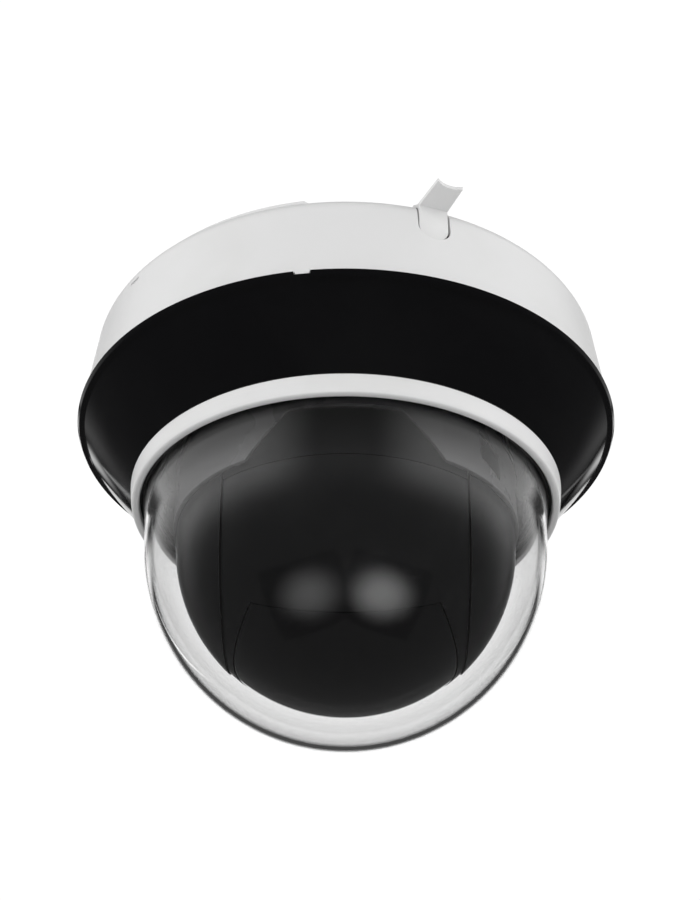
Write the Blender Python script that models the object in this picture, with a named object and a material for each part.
"""Ceiling-mounted PTZ dome camera, modelled as its separate pieces.

The origin lies on the ceiling face of the mounting plate and the camera hangs towards -Z.
Its front is -Y. All dimensions below are in millimetres; solids are made in metres.
"""
import math

import bmesh
import bpy
from mathutils import Matrix, Vector

MM = 0.001
GAP = 0.3                  # clearance between neighbouring pieces

# ---- driving dimensions -------------------------------------------------------------------
PLATE_R = 82.0             # mounting plate
PLATE_T = 2.0
PLATE_LOBE_R = 84.8
HOUSING_TOP = -(PLATE_T + GAP)
HOUSING_TOP_R = 89.9       # drawn housing, at the end of its rounded top edge
HOUSING_RIM_R = 92.9
HOUSING_EDGE = 7.0         # radius of the rounded top edge
HOUSING_T = 2.2
RIM_Z = -37.0              # open lower rim of the housing
COVER_LIP_R = 93.8
COVER_BOTTOM_R = 73.4
COVER_BOTTOM_Z = -61.0
TRIM_BOTTOM_Z = -67.8
BALL_Z = -79.5             # tilt axis, also the centre of the bubble
DOME_R = 67.4
DOME_T = 2.0
HEAD_R = 56.4              # tilting head
HEAD_HALF = 37.9           # half width of the head between the arms
ARM_R = 56.9               # arm covers carry the ball's outline on
DRUM_R = 58.3
DRUM_T = 1.5
DRUM_BOTTOM_Z = -77.0
TURNTABLE_TOP = -19.2
TURNTABLE_BOTTOM = -21.9
CHASSIS_TOP = -10.0
CHASSIS_BOTTOM = -12.5
SHROUD_TOP = -40.0
SHROUD_R = 66.6
PAN_MOTOR_Y = 74.0
PAN_PULLEY_R = 40.0
PAN_PINION_R = 6.0
TILT_PULLEY_R = 15.0
TILT_PINION_R = 5.0
TILT_MOTOR_Z = BALL_Z + 34.0
CABLE_X, CABLE_Y = -38.0, 60.0
TONGUE_AZIMUTH = 18.0      # from the front, positive towards +X
TONGUE_HALF = 4.85

ROUND = 36                 # sides of the large turned pieces
SMALL = 16                 # sides of the small turned pieces
BELT_STEPS = 22            # straight pieces of a belt round each of its pulleys

BODIES = {                 # joint origin of each moving body
    "housing": (0, 0, 0),
    "reset_key": (-30, 66, -34.4),
    "pan_drive": (0, PAN_MOTOR_Y, 0),
    "carriage": (0, 0, 0),
    "tilt_drive": (0, 0, TILT_MOTOR_Z),
    "head": (0, 0, BALL_Z),
    "zoom_cell": (0, 0, BALL_Z - 18),
    "focus_cell": (0, 0, BALL_Z + 2),
    "filter_slide": (0, 0, BALL_Z + 13),
}


# ---- helpers ------------------------------------------------------------------------------
def clear_scene():
    for old in list(bpy.data.objects):
        bpy.data.objects.remove(old, do_unlink=True)


def material(name, colour, roughness, metallic=0.0, alpha=1.0):
    mat = bpy.data.materials.new(name)
    mat.use_nodes = True
    shader = mat.node_tree.nodes["Principled BSDF"]
    shader.inputs["Base Color"].default_value = (*colour, 1.0)
    shader.inputs["Roughness"].default_value = roughness
    shader.inputs["Metallic"].default_value = metallic
    shader.inputs["Alpha"].default_value = alpha
    mat.diffuse_color = (*colour, alpha)
    return mat


def make_object(name, bm, mat=None, body="housing"):
    """Turn a bmesh in world millimetres into an object that hangs on its body's empty."""
    bmesh.ops.remove_doubles(bm, verts=bm.verts, dist=1e-4)
    bmesh.ops.recalc_face_normals(bm, faces=bm.faces)
    origin = Vector(BODIES[body])
    bmesh.ops.translate(bm, verts=bm.verts, vec=-origin)
    bmesh.ops.scale(bm, verts=bm.verts, vec=(MM, MM, MM))
    mesh = bpy.data.meshes.new(name)
    bm.to_mesh(mesh)
    bm.free()
    mesh.shade_smooth()
    mesh.set_sharp_from_angle(angle=math.radians(35))
    obj = bpy.data.objects.new(name, mesh)
    bpy.context.collection.objects.link(obj)
    obj.parent = EMPTIES[body]
    if mat:
        mesh.materials.append(mat)
    return obj


def lathe_mesh(profile, sides, axis="Z", centre=(0, 0, 0), start=0.0, sweep=360.0):
    """Turn a closed outline of (radius, height) points about an axis through centre."""
    bm = bmesh.new()
    full = sweep >= 360.0
    steps = sides if full else sides + 1
    angles = [math.radians(start + sweep * i / sides) for i in range(steps)]
    on_axis = profile[0][0] == 0 and profile[-1][0] == 0
    rings = []
    for angle in angles:
        ring = []
        for radius, height in profile:
            across, along = radius * math.cos(angle), radius * math.sin(angle)
            point = (across, along, height) if axis == "Z" else (height, across, along)
            ring.append(bm.verts.new(Vector(point) + Vector(centre)))
        rings.append(ring)
    spans = len(profile) - 1 if on_axis else len(profile)
    turns = len(rings) if full else len(rings) - 1
    for i in range(turns):
        here, there = rings[i], rings[(i + 1) % len(rings)]
        for j in range(spans):
            k = (j + 1) % len(profile)
            bm.faces.new((here[j], here[k], there[k], there[j]))
    if not full:
        bm.faces.new(rings[0])
        bm.faces.new(list(reversed(rings[-1])))
    bmesh.ops.remove_doubles(bm, verts=bm.verts, dist=1e-5)
    flat = [face for face in bm.faces if face.calc_area() < 1e-9]
    bmesh.ops.delete(bm, geom=flat, context="FACES")
    return bm


def lathe(name, profile, mat, body="housing", sides=ROUND, **turn):
    return make_object(name, lathe_mesh(profile, sides, **turn), mat, body)


def disc(name, radius, low, high, mat, body="housing", sides=SMALL, **turn):
    profile = [(0, high), (radius, high), (radius, low), (0, low)]
    return lathe(name, profile, mat, body, sides, **turn)


def washer(name, inner, outer, low, high, mat, body="housing", sides=SMALL, **turn):
    profile = [(inner, high), (outer, high), (outer, low), (inner, low)]
    return lathe(name, profile, mat, body, sides, **turn)


def arc(centre, radius, start, end, count):
    """Points on an arc in the (radius, height) plane, angles in degrees."""
    points = []
    for i in range(count + 1):
        angle = math.radians(start + (end - start) * i / count)
        points.append((centre[0] + radius * math.cos(angle), centre[1] + radius * math.sin(angle)))
    return points


def prism(outline, low, high, axis="Z"):
    """Extrude a flat outline along an axis. The outline holds the other two coordinates."""
    place = {
        "X": lambda u, v, w: (w, u, v),
        "Y": lambda u, v, w: (u, w, v),
        "Z": lambda u, v, w: (u, v, w),
    }[axis]
    bm = bmesh.new()
    lower = [bm.verts.new(place(u, v, low)) for u, v in outline]
    upper = [bm.verts.new(place(u, v, high)) for u, v in outline]
    bm.faces.new(lower)
    bm.faces.new(list(reversed(upper)))
    for i in range(len(outline)):
        j = (i + 1) % len(outline)
        bm.faces.new((lower[i], lower[j], upper[j], upper[i]))
    return bm


def box_mesh(low, high):
    outline = [(low[0], low[1]), (high[0], low[1]), (high[0], high[1]), (low[0], high[1])]
    return prism(outline, low[2], high[2])


def block(name, low, high, mat, body="housing", bevel=0.0):
    bm = box_mesh(low, high)
    if bevel:
        bmesh.ops.bevel(bm, geom=bm.edges[:], offset=bevel, segments=1, affect="EDGES")
    return make_object(name, bm, mat, body)


def turn_about_z(bm, azimuth):
    """Turn a piece drawn at the front (-Y) to its place round the camera."""
    bmesh.ops.rotate(bm, verts=bm.verts, matrix=Matrix.Rotation(math.radians(azimuth), 3, "Z"))
    return bm


def merged(parts):
    """Put several meshes that do not touch into one."""
    whole = bmesh.new()
    for part in parts:
        mesh = bpy.data.meshes.new("part")
        part.to_mesh(mesh)
        part.free()
        whole.from_mesh(mesh)
        bpy.data.meshes.remove(mesh)
    return whole


def combine(obj, bm, operation, name):
    """Apply a cutter (DIFFERENCE) or an added shape (UNION) through a Boolean modifier."""
    tool = make_object(name, bm)
    tool.hide_render = True
    tool.display_type = "WIRE"
    modifier = obj.modifiers.new(name, "BOOLEAN")
    modifier.operation = operation
    modifier.object = tool
    modifier.solver = "EXACT"


def bore(radius, low, high, x=0.0, y=0.0, sides=SMALL):
    return lathe_mesh([(0, high), (radius, high), (radius, low), (0, low)], sides, centre=(x, y, 0))


def around(radius, azimuth):
    angle = math.radians(azimuth)
    return radius * math.sin(angle), -radius * math.cos(angle)


def belt_outline(centre_a, radius_a, centre_b, radius_b, count):
    """Closed path round two pulleys: an arc on each, joined by the two straight runs."""
    ax, ay = centre_a
    bx, by = centre_b
    span = math.hypot(bx - ax, by - ay)
    heading = math.atan2(by - ay, bx - ax)
    wrap = math.acos((radius_a - radius_b) / span)
    points = []
    for i in range(count + 1):
        angle = heading + wrap + (2 * math.pi - 2 * wrap) * i / count
        points.append((ax + radius_a * math.cos(angle), ay + radius_a * math.sin(angle)))
    for i in range(count + 1):
        angle = heading - wrap + 2 * wrap * i / count
        points.append((bx + radius_b * math.cos(angle), by + radius_b * math.sin(angle)))
    return points


def belt_mesh(centre_a, radius_a, centre_b, radius_b, thickness, low, high, axis):
    inner = belt_outline(centre_a, radius_a, centre_b, radius_b, BELT_STEPS)
    outer = belt_outline(centre_a, radius_a + thickness, centre_b, radius_b + thickness, BELT_STEPS)
    place = (lambda u, v, w: (w, u, v)) if axis == "X" else (lambda u, v, w: (u, v, w))
    bm = bmesh.new()
    loops = []
    for outline, level in ((inner, low), (outer, low), (outer, high), (inner, high)):
        loops.append([bm.verts.new(place(u, v, level)) for u, v in outline])
    count = len(inner)
    for side in range(4):
        here, there = loops[side], loops[(side + 1) % 4]
        for i in range(count):
            j = (i + 1) % count
            bm.faces.new((here[i], here[j], there[j], there[i]))
    return bm


def head_patch(half_angle, half_front, half_mid, inner, outer, inset=0.0):
    """Barrel-shaped patch of the head's ball round straight down, between two radii."""
    rows, columns = 8, 6
    bm = bmesh.new()
    layers = []
    for radius in (inner, outer):
        grid = []
        for i in range(rows + 1):
            tilt = (2 * i / rows - 1) * (half_angle - math.degrees(inset / HEAD_R))
            share = 1 - (tilt / half_angle) ** 2
            half = half_front + (half_mid - half_front) * share - inset
            line = []
            for j in range(columns + 1):
                across = (2 * j / columns - 1) * half
                reach = math.sqrt(radius ** 2 - across ** 2)
                along = -reach * math.sin(math.radians(tilt))
                down = -reach * math.cos(math.radians(tilt))
                line.append(bm.verts.new((across, along, BALL_Z + down)))
            grid.append(line)
        layers.append(grid)
    for grid in layers:
        for i in range(rows):
            for j in range(columns):
                bm.faces.new((grid[i][j], grid[i][j + 1], grid[i + 1][j + 1], grid[i + 1][j]))
    low, high = layers
    rim = [(0, j) for j in range(columns)] + [(i, columns) for i in range(rows)]
    rim += [(rows, j) for j in range(columns, 0, -1)] + [(i, 0) for i in range(rows, 0, -1)]
    for k, (i, j) in enumerate(rim):
        m, n = rim[(k + 1) % len(rim)]
        bm.faces.new((low[i][j], low[m][n], high[m][n], high[i][j]))
    return bm


# ---- fixed pieces: bracket and housing ----------------------------------------------------
def bracket():
    lobe = arc((0, 0), PLATE_LOBE_R, -90 - 48, -90 - 9, 8)
    rest = arc((0, 0), PLATE_R, -90 - 9 + 2, 270 - 48 - 2, 46)
    plate = make_object("mounting_plate", prism(lobe + rest, -PLATE_T, 0), WHITE)
    holes = [bore(2.5, -PLATE_T - 1, 1, *around(60, azimuth), 12) for azimuth in (30, 150, 270)]
    holes.append(bore(10.0, -PLATE_T - 1, 1, CABLE_X, CABLE_Y))
    combine(plate, merged(holes), "DIFFERENCE", "cut_mounting_plate")

    # The strap leaves the plate, dips into the recess, and splits into a flap and a leg.
    strap = [(-PLATE_R - 0.7, -0.4), (-84.8, -0.4), (-88.9, -3.6), (-89.6, -3.6)]
    strap += [(-89.6, -4.9), (-88.4, -4.9), (-84.3, -1.7), (-PLATE_R - 0.7, -1.7)]
    flap = [(-TONGUE_HALF, -88.8), (-2.8, -101.6), (-0.8, -100.2), (1.6, -99.6)]
    flap += [(4.0, -99.5), (5.9, -100.3), (TONGUE_HALF, -88.8)]
    leg = [(-TONGUE_HALF + 0.05, -4.2)]
    leg += [(x, z) for x, z in arc((0, -13.5), TONGUE_HALF - 0.05, 180, 360, 10)]
    leg += [(TONGUE_HALF - 0.05, -4.2)]
    strap_mesh = prism(strap, -TONGUE_HALF + 0.1, TONGUE_HALF - 0.1, axis="X")
    tongue = make_object("bracket_tongue", turn_about_z(strap_mesh, TONGUE_AZIMUTH), WHITE)
    flap_mesh = turn_about_z(prism(flap, -4.9, -3.6), TONGUE_AZIMUTH)
    combine(tongue, flap_mesh, "UNION", "add_tongue_flap")
    leg_mesh = turn_about_z(prism(leg, -89.7, -88.4, axis="Y"), TONGUE_AZIMUTH)
    combine(tongue, leg_mesh, "UNION", "add_tongue_leg")


def housing():
    edge_r = HOUSING_TOP_R - HOUSING_EDGE
    edge_z = HOUSING_TOP - HOUSING_EDGE
    outer = arc((edge_r, edge_z), HOUSING_EDGE, 90, 0, 6) + [(HOUSING_RIM_R, RIM_Z)]
    inner = [(HOUSING_RIM_R - HOUSING_T, RIM_Z)]
    inner += arc((edge_r, edge_z), HOUSING_EDGE - HOUSING_T, 0, 90, 4)
    profile = [(0, HOUSING_TOP)] + outer + inner + [(0, HOUSING_TOP - HOUSING_T)]
    shell = lathe("top_housing", profile, WHITE)
    add = [bore(4.0, CHASSIS_TOP + GAP, HOUSING_TOP - 1, *around(78, a)) for a in SCREW_AZIMUTHS]
    rim_tab = box_mesh((-2.2, -HOUSING_RIM_R - 0.15, RIM_Z - 1.1), (2.2, -91.0, RIM_Z + 1))
    add.append(turn_about_z(rim_tab, -8))
    combine(shell, merged(add), "UNION", "add_housing_bosses")
    cuts = [bore(1.8, CHASSIS_TOP - 1, -6.0, *around(78, a), 12) for a in SCREW_AZIMUTHS]
    cuts.append(bore(9.0, -8, 1, CABLE_X, CABLE_Y))
    slot = [(-5.4, 1.0)] + arc((0, -13.6), 5.4, 180, 360, 12) + [(5.4, 1.0)]
    cuts.append(turn_about_z(prism(slot, -96.0, -83.8, axis="Y"), TONGUE_AZIMUTH))
    cuts.append(turn_about_z(box_mesh((-2.4, -94, -11.0), (2.4, -88.8, -9.6)), -51))
    combine(shell, merged(cuts), "DIFFERENCE", "cut_housing")
    washer("housing_seal", 88.6, 90.0, RIM_Z + 0.2, RIM_Z + 2.0, RUBBER, sides=ROUND)

    grommet = [(4.6, HOUSING_TOP + 1.2), (8.6, HOUSING_TOP + 1.2)]
    grommet += [(8.6, HOUSING_TOP - HOUSING_T - GAP), (11.0, HOUSING_TOP - HOUSING_T - GAP)]
    grommet += [(11.0, -6.4), (4.6, -6.4)]
    lathe("cable_grommet", grommet, RUBBER, sides=SMALL, centre=(CABLE_X, CABLE_Y, 0))


def lower_cover():
    """Cone with a proud rounded lip outside and an upstand that centres the housing."""
    outer = [(COVER_LIP_R - 0.4, RIM_Z - GAP), (COVER_LIP_R, RIM_Z - 0.8)]
    outer += arc((COVER_LIP_R - 1.0, RIM_Z - 1.2), 1.0, 0, -90, 3)
    outer += [(COVER_LIP_R - 2.6, RIM_Z - 2.7), (COVER_BOTTOM_R, COVER_BOTTOM_Z)]
    inner = [(68.6, COVER_BOTTOM_Z), (68.6, COVER_BOTTOM_Z + 1.8), (COVER_BOTTOM_R - 1, -58.6)]
    inner += [(86.6, -42.4), (86.6, RIM_Z + 4), (88.3, RIM_Z + 4), (88.3, RIM_Z - GAP)]
    cover = lathe("lower_cover", outer + inner, BLACK)
    notch = box_mesh((-2.6, -95, RIM_Z - 1.5), (2.6, -90.0, RIM_Z))
    combine(cover, turn_about_z(notch, -8), "DIFFERENCE", "cut_lower_cover")

    ring = [(COVER_BOTTOM_R + 0.1, COVER_BOTTOM_Z - GAP), (72.9, TRIM_BOTTOM_Z + 1.2)]
    ring += [(72.6, TRIM_BOTTOM_Z + 0.4), (71.8, TRIM_BOTTOM_Z), (70.4, TRIM_BOTTOM_Z)]
    ring += [(70.0, TRIM_BOTTOM_Z + 0.4), (70.0, -65.1), (71.8, -65.1)]
    ring += [(71.9, COVER_BOTTOM_Z - GAP)]
    lathe("trim_ring", ring, WHITE)
    washer("dome_seal", 68.8, 71.2, -62.3, COVER_BOTTOM_Z - GAP, RUBBER, sides=ROUND)


def dome():
    """Hemisphere with a flared skirt and a flange that the trim ring clamps."""
    flange_top, flange_bottom = -62.6, -64.8
    outer = [(71.4, flange_top), (71.4, flange_bottom), (69.4, flange_bottom), (68.9, -67.8)]
    outer += [(68.0, -73.0)] + arc((0, BALL_Z), DOME_R, 0, -90, 9)
    inner_r = DOME_R - DOME_T
    inner = arc((0, BALL_Z), inner_r, -90, 0, 9) + [(66.0, -73.0), (67.2, flange_top)]
    profile = [(max(r, 0) if abs(r) > 1e-6 else 0, z) for r, z in outer + inner]
    pole = next(i for i, point in enumerate(profile) if point[0] == 0)
    lathe("dome_bubble", profile[pole + 1:] + profile[:pole + 1], CLEAR)


def shroud():
    profile = [(59.4, SHROUD_TOP), (84.0, SHROUD_TOP), (84.0, SHROUD_TOP - 1.5)]
    profile += [(SHROUD_R, SHROUD_TOP - 1.5), (SHROUD_R - 0.2, -62.0), (SHROUD_R - 1.6, -62.0)]
    profile += [(SHROUD_R - 1.4, SHROUD_TOP - 1.5), (59.4, SHROUD_TOP - 1.5)]
    ring = lathe("inner_shroud", profile, GREY)
    window = [(-6.5, -44.5), (5.5, -43.5), (8.5, -59.0), (-4.0, -60.0)]
    cuts = []
    for azimuth in SHROUD_WINDOW_AZIMUTHS:
        cuts.append(turn_about_z(prism(window, -SHROUD_R - 3, -SHROUD_R + 4, axis="Y"), azimuth))
    combine(ring, merged(cuts), "DIFFERENCE", "cut_shroud_windows")


# ---- fixed pieces: inside the housing -----------------------------------------------------
def chassis():
    plate = washer("chassis_plate", 10.0, 84.0, CHASSIS_BOTTOM, CHASSIS_TOP, CAST, sides=ROUND)
    cuts = [bore(1.9, CHASSIS_BOTTOM - 1, CHASSIS_TOP + 1, *around(78, a), 12)
            for a in SCREW_AZIMUTHS]
    cuts.append(bore(10.0, CHASSIS_BOTTOM - 1, CHASSIS_TOP + 1, CABLE_X, CABLE_Y))
    combine(plate, merged(cuts), "DIFFERENCE", "cut_chassis_plate")
    head_top = CHASSIS_BOTTOM - GAP
    for number, azimuth in enumerate(SCREW_AZIMUTHS, 1):
        x, y = around(78, azimuth)
        profile = [(0, -6.4), (1.4, -6.4), (1.4, head_top), (3.0, head_top)]
        profile += [(3.0, head_top - 1.6), (1.2, head_top - 1.9), (0, head_top - 1.0)]
        lathe(f"chassis_screw_{number}", profile, STEEL, sides=12, centre=(x, y, 0))

    washer("main_board", 12.0, 58.0, -8.2, -6.6, BOARD, sides=24)
    corners = arc((0, 0), 84.0, 111, 135, 5) + arc((0, 0), 62.0, 135, 111, 4)
    make_object("network_board", prism(corners, -33.6, -32.0), BOARD)
    socket = block("network_socket", (CABLE_X - 8, CABLE_Y - 6.8, -31.7),
                   (CABLE_X + 8, CABLE_Y + 6.8, -18.2), METAL)
    mouth = box_mesh((CABLE_X - 6, CABLE_Y - 4.6, -29.0), (CABLE_X + 6, CABLE_Y + 4.6, -17.0))
    combine(socket, mouth, "DIFFERENCE", "cut_network_socket")
    disc("reset_button", 1.6, -37.0, -34.4, RUBBER, "reset_key", 12, centre=(-30, 66, 0))
    block("pan_home_sensor", (-54, -4, -17.5), (-48, 4, CHASSIS_BOTTOM - GAP), BLACK, bevel=0.4)


def pan_drive():
    outline = [(-14, 63), (14, 63), (14, 84), (-14, 84)]
    bracket_plate = make_object("pan_motor_bracket", prism(outline, -20.7, -19.2), CAST)
    posts = [bore(2.4, -19.9, CHASSIS_BOTTOM - GAP, x, 81.0, 12) for x in (-11, 11)]
    combine(bracket_plate, merged(posts), "UNION", "add_bracket_posts")
    combine(bracket_plate, bore(3.0, -23, -17, 0, PAN_MOTOR_Y, 16), "DIFFERENCE", "cut_bracket")

    centre = (0, PAN_MOTOR_Y, 0)
    case = [(0, -21.0), (10.4, -21.0), (11.0, -21.6), (11.0, -35.4), (10.4, -36.0), (0, -36.0)]
    lathe("pan_motor", case, METAL, sides=24, centre=centre)
    pinion = [(0, -14.8), (8.0, -14.8), (8.0, -15.4), (PAN_PINION_R, -15.4)]
    pinion += [(PAN_PINION_R, -18.3), (8.0, -18.3), (8.0, -18.9), (1.6, -18.9)]
    pinion += [(1.6, -20.7), (0, -20.7)]
    lathe("pan_motor_pulley", pinion, METAL, "pan_drive", 16, centre=centre)
    loop = belt_mesh((0, 0), PAN_PULLEY_R + GAP, (0, PAN_MOTOR_Y), PAN_PINION_R + GAP,
                     1.3, -18.0, -15.7, "Z")
    make_object("pan_belt", loop, RUBBER)
    washer("pan_bearing_outer", 23.9, 28.0, -17.9, CHASSIS_BOTTOM - GAP, METAL, sides=ROUND)
    disc("slip_ring_body", 9.6, -16.9, -5.2, BLACK, sides=24)


# ---- panning pieces -----------------------------------------------------------------------
def carriage():
    table = [(8.4, TURNTABLE_TOP), (14.0, TURNTABLE_TOP), (14.0, -13.4), (19.7, -13.4)]
    table += [(19.7, TURNTABLE_TOP), (DRUM_R, TURNTABLE_TOP), (DRUM_R, TURNTABLE_BOTTOM)]
    table += [(8.4, TURNTABLE_BOTTOM)]
    lathe("turntable", table, CAST, "carriage")
    washer("pan_bearing_inner", 20.0, 23.6, -18.9, -13.4, METAL, "carriage", ROUND)
    rim = PAN_PULLEY_R + 2
    wheel = [(30.3, -14.8), (rim, -14.8), (rim, -15.4), (PAN_PULLEY_R, -15.4)]
    wheel += [(PAN_PULLEY_R, -18.3), (rim, -18.3), (rim, -18.9), (30.3, -18.9)]
    lathe("pan_pulley", wheel, BLACK, "carriage")
    disc("slip_ring_rotor", 8.0, -22.4, -17.3, METAL, "carriage", 24)
    drum()
    for side, word in ((-1, "left"), (1, "right")):
        arm(side, word)
    tilt_drive()


def drum():
    """Wall that hangs from the turntable, open in front so that the lens can look level."""
    wall = washer("gimbal_drum", DRUM_R - DRUM_T, DRUM_R, DRUM_BOTTOM_Z,
                  TURNTABLE_BOTTOM - GAP, GREY, "carriage", 48)
    front = [(-17.5, -61.4), (-30.7, -76.8), (-31.5, -80), (31.5, -80), (30.7, -76.8),
             (17.5, -61.4)]
    side = [(42.6, -58.0), (49.1, -63.6), (49.1, -73.1), (42.6, -70.0)]
    cuts = [prism(front, -62, -30, axis="Y"), prism(side, -62, -20, axis="Y")]
    combine(wall, merged(cuts), "DIFFERENCE", "cut_drum")


def arm(side, word):
    """One arm: the yoke plate, its bearing and the cover that carries the ball's outline on."""
    near, far = sorted((side * 38.6, side * 40.6))
    outline = [(-20, TURNTABLE_BOTTOM - GAP)] + arc((0, BALL_Z), 20, 180, 360, 12)
    outline += [(20, TURNTABLE_BOTTOM - GAP)]
    plate = make_object(f"yoke_{word}", prism(outline, near, far, "X"), CAST, "carriage")
    hole = lathe_mesh([(0, near - 1), (8.3, near - 1), (8.3, far + 1), (0, far + 1)], SMALL,
                      axis="X", centre=(0, 0, BALL_Z))
    combine(plate, hole, "DIFFERENCE", f"cut_yoke_{word}")
    washer(f"tilt_bearing_{word}", 4.2, 8.0, near + 0.1, far - 0.1, METAL, "carriage",
           axis="X", centre=(0, 0, BALL_Z))

    start = HEAD_HALF + 0.4
    wall = 1.8
    rim_angle = math.degrees(math.acos(start / ARM_R))
    inner_angle = math.degrees(math.acos(start / (ARM_R - wall)))
    cap = [(r, side * x) for x, r in arc((0, 0), ARM_R, rim_angle, 0, 6)]
    cap += [(r, side * x) for x, r in arc((0, 0), ARM_R - wall, 0, inner_angle, 5)]
    cap = [(0 if abs(r) < 1e-6 else r, x) for r, x in cap]
    pole = next(i for i, point in enumerate(cap) if point[0] == 0)
    cap = cap[pole + 1:] + cap[:pole + 1]
    cover = lathe(f"arm_cover_{word}", cap, BLACK, "carriage", axis="X",
                  centre=(0, 0, BALL_Z))
    top = box_mesh((-60, -60, DRUM_BOTTOM_Z - 0.4), (60, 60, -10))
    combine(cover, top, "DIFFERENCE", f"cut_arm_cover_{word}")


def tilt_drive():
    """Motor in the left arm, driving the tilt shaft through a small belt."""
    centre = (0, 0, TILT_MOTOR_Z)
    body = [(0, -48.0), (8.5, -48.0), (8.5, -54.0), (7.9, -54.6), (0, -54.6)]
    motor = lathe("tilt_motor", body, METAL, "carriage", 24, axis="X", centre=centre)
    flange = box_mesh((-48.4, -13, TILT_MOTOR_Z - 7), (-47.2, 13, TILT_MOTOR_Z + 7))
    posts = [lathe_mesh([(0, -40.9), (1.6, -40.9), (1.6, -47.6), (0, -47.6)], 10, axis="X",
                        centre=(0, y, TILT_MOTOR_Z)) for y in (-10.5, 10.5)]
    combine(motor, flange, "UNION", "add_tilt_motor_flange")
    combine(motor, merged(posts), "UNION", "add_tilt_motor_posts")
    rim = TILT_PINION_R + 1.6
    pinion = [(0, -42.4), (rim, -42.4), (rim, -42.9), (TILT_PINION_R, -42.9)]
    pinion += [(TILT_PINION_R, -45.9), (rim, -45.9), (rim, -46.4), (1.5, -46.4)]
    pinion += [(1.5, -46.9), (0, -46.9)]
    lathe("tilt_motor_pulley", pinion, METAL, "tilt_drive", 14, axis="X", centre=centre)
    loop = belt_mesh((0, BALL_Z), TILT_PULLEY_R + GAP, (0, TILT_MOTOR_Z), TILT_PINION_R + GAP,
                     1.1, -45.6, -43.2, "X")
    make_object("tilt_belt", loop, RUBBER, "carriage")


# ---- tilting pieces -----------------------------------------------------------------------
def head():
    wall = 1.8
    edge = math.degrees(math.acos(HEAD_HALF / HEAD_R))
    inner_half = HEAD_HALF - wall
    inner_edge = math.degrees(math.acos(inner_half / (HEAD_R - wall)))
    outer = [(r, x) for x, r in arc((0, 0), HEAD_R, edge, 180 - edge, 8)]
    inner = [(r, x) for x, r in arc((0, 0), HEAD_R - wall, 180 - inner_edge, inner_edge, 6)]
    shell = [(6.5, HEAD_HALF)] + outer + [(6.5, -HEAD_HALF), (6.5, -inner_half)]
    shell += inner + [(6.5, inner_half)]
    lower = lathe("head_lower_shell", shell, BLACK, "head", 18, axis="X",
                  centre=(0, 0, BALL_Z), start=180, sweep=180)
    combine(lower, head_patch(40.5, 28.8, 35.5, 50, 60), "DIFFERENCE", "cut_window")
    lathe("head_upper_shell", shell, BLACK, "head", 16, axis="X",
          centre=(0, 0, BALL_Z), start=0.4, sweep=179.2)
    pane = head_patch(40.5, 28.8, 35.5, HEAD_R - wall, HEAD_R - 0.2, inset=0.4)
    make_object("lens_window", pane, SMOKED, "head")

    frame = [(-33.5, BALL_Z - 14), (-31.5, BALL_Z - 14), (-31.5, BALL_Z + 14.5)]
    frame += [(31.5, BALL_Z + 14.5), (31.5, BALL_Z - 14), (33.5, BALL_Z - 14)]
    frame += [(33.5, BALL_Z + 16.5), (-33.5, BALL_Z + 16.5)]
    bridge = make_object("camera_frame", prism(frame, -18, 18, "Y"), CAST, "head")
    combine(bridge, bore(8.0, BALL_Z + 10, BALL_Z + 20), "DIFFERENCE", "cut_camera_frame")
    for side, word in ((-1, "left"), (1, "right")):
        shaft = [(0, 33.8), (9.0, 33.8), (9.0, 35.6), (3.9, 35.6), (3.9, 46.8), (0, 46.8)]
        lathe(f"tilt_shaft_{word}", [(r, side * x) for r, x in shaft], METAL, "head", SMALL,
              axis="X", centre=(0, 0, BALL_Z))
    rim = TILT_PULLEY_R + 1.8
    wheel = [(4.2, -42.4), (rim, -42.4), (rim, -42.9), (TILT_PULLEY_R, -42.9)]
    wheel += [(TILT_PULLEY_R, -45.9), (rim, -45.9), (rim, -46.4), (4.2, -46.4)]
    lathe("tilt_pulley", wheel, METAL, "head", 24, axis="X", centre=(0, 0, BALL_Z))
    washer("encoder_disc", 4.2, 13.0, 43.0, 44.0, STEEL, "head", 24, axis="X",
           centre=(0, 0, BALL_Z))
    camera_module()


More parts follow.
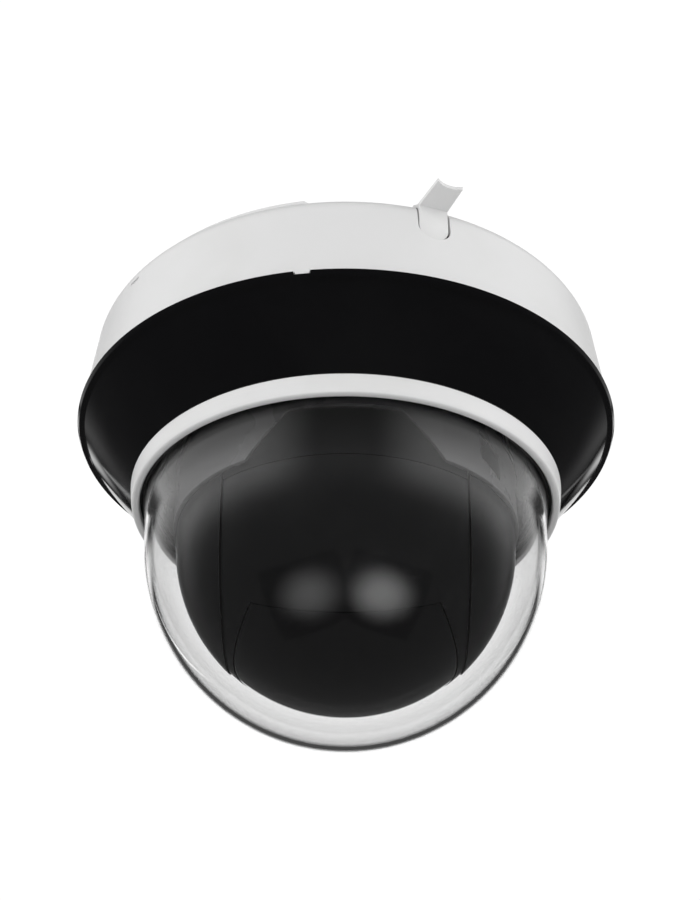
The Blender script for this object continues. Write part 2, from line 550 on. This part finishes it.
def camera_module():
    """Zoom camera whose optical axis points straight down at rest."""
    barrel = [(7.0, 12.0), (19.0, 12.0), (19.0, -44.0), (18.4, -46.0), (17.2, -46.0)]
    barrel += [(17.2, 10.0), (7.0, 10.0)]
    lathe("lens_barrel", barrel, BLACK, "head", 24, centre=(0, 0, BALL_Z))
    glass = [(0, -40.0), (9.0, -40.6), (16.8, -41.5), (16.8, -43.0), (9.0, -44.6), (0, -45.2)]
    lathe("front_lens", glass, COATED, "head", 20, centre=(0, 0, BALL_Z))
    zoom = [(0, -15.0), (9.0, -15.6), (11.0, -14.0), (15.5, -14.0), (15.5, -22.0), (11.0, -22.0)]
    zoom += [(9.0, -20.4), (0, -21.0)]
    lathe("zoom_lens_group", zoom, COATED, "zoom_cell", 16, centre=(0, 0, BALL_Z))
    focus = [(0, 3.4), (8.0, 3.0), (10.0, 5.0), (15.5, 5.0), (15.5, -1.0), (10.0, -1.0)]
    focus += [(8.0, 1.0), (0, 0.6)]
    lathe("focus_lens_group", focus, COATED, "focus_cell", 16, centre=(0, 0, BALL_Z))
    block("ir_cut_filter", (-13.0, -6.5, BALL_Z + 12.4), (13.0, 6.5, BALL_Z + 14.1), COATED,
          "filter_slide")
    block("sensor_board", (-17, -17, BALL_Z + 16.9), (17, 17, BALL_Z + 18.5), BOARD, "head")
    for y, word in ((-26.0, "focus"), (26.0, "zoom")):
        disc(f"{word}_motor", 5.0, BALL_Z - 10, BALL_Z + 9, METAL, "head", 16, centre=(0, y, 0))


# ---- build --------------------------------------------------------------------------------
clear_scene()

WHITE = material("white_enamel", (0.83, 0.83, 0.83), 0.42)
BLACK = material("black_gloss", (0.012, 0.012, 0.013), 0.18)
GREY = material("dark_grey_gloss", (0.07, 0.07, 0.075), 0.25)
CLEAR = material("clear_bubble", (0.95, 0.96, 0.96), 0.03, alpha=0.2)
SMOKED = material("smoked_window", (0.01, 0.01, 0.012), 0.06)
COATED = material("coated_glass", (0.05, 0.04, 0.09), 0.05)
STEEL = material("zinc_steel", (0.55, 0.55, 0.55), 0.35, 1.0)
CAST = material("cast_aluminium", (0.6, 0.6, 0.61), 0.5, 1.0)
METAL = material("bearing_steel", (0.45, 0.45, 0.46), 0.25, 1.0)
RUBBER = material("black_rubber", (0.02, 0.02, 0.02), 0.8)
BOARD = material("green_board", (0.02, 0.14, 0.06), 0.45)

SCREW_AZIMUTHS = (45, 110, 250, 315)
SHROUD_WINDOW_AZIMUTHS = (-97, -150, 150, 93)

EMPTIES = {}
for body_name, joint_origin in BODIES.items():
    EMPTIES[body_name] = bpy.data.objects.new(f"axis_{body_name}", None)
    EMPTIES[body_name].location = Vector(joint_origin) * MM
    bpy.context.collection.objects.link(EMPTIES[body_name])

bracket()
housing()
lower_cover()
dome()
shroud()
chassis()
pan_drive()
carriage()
head()
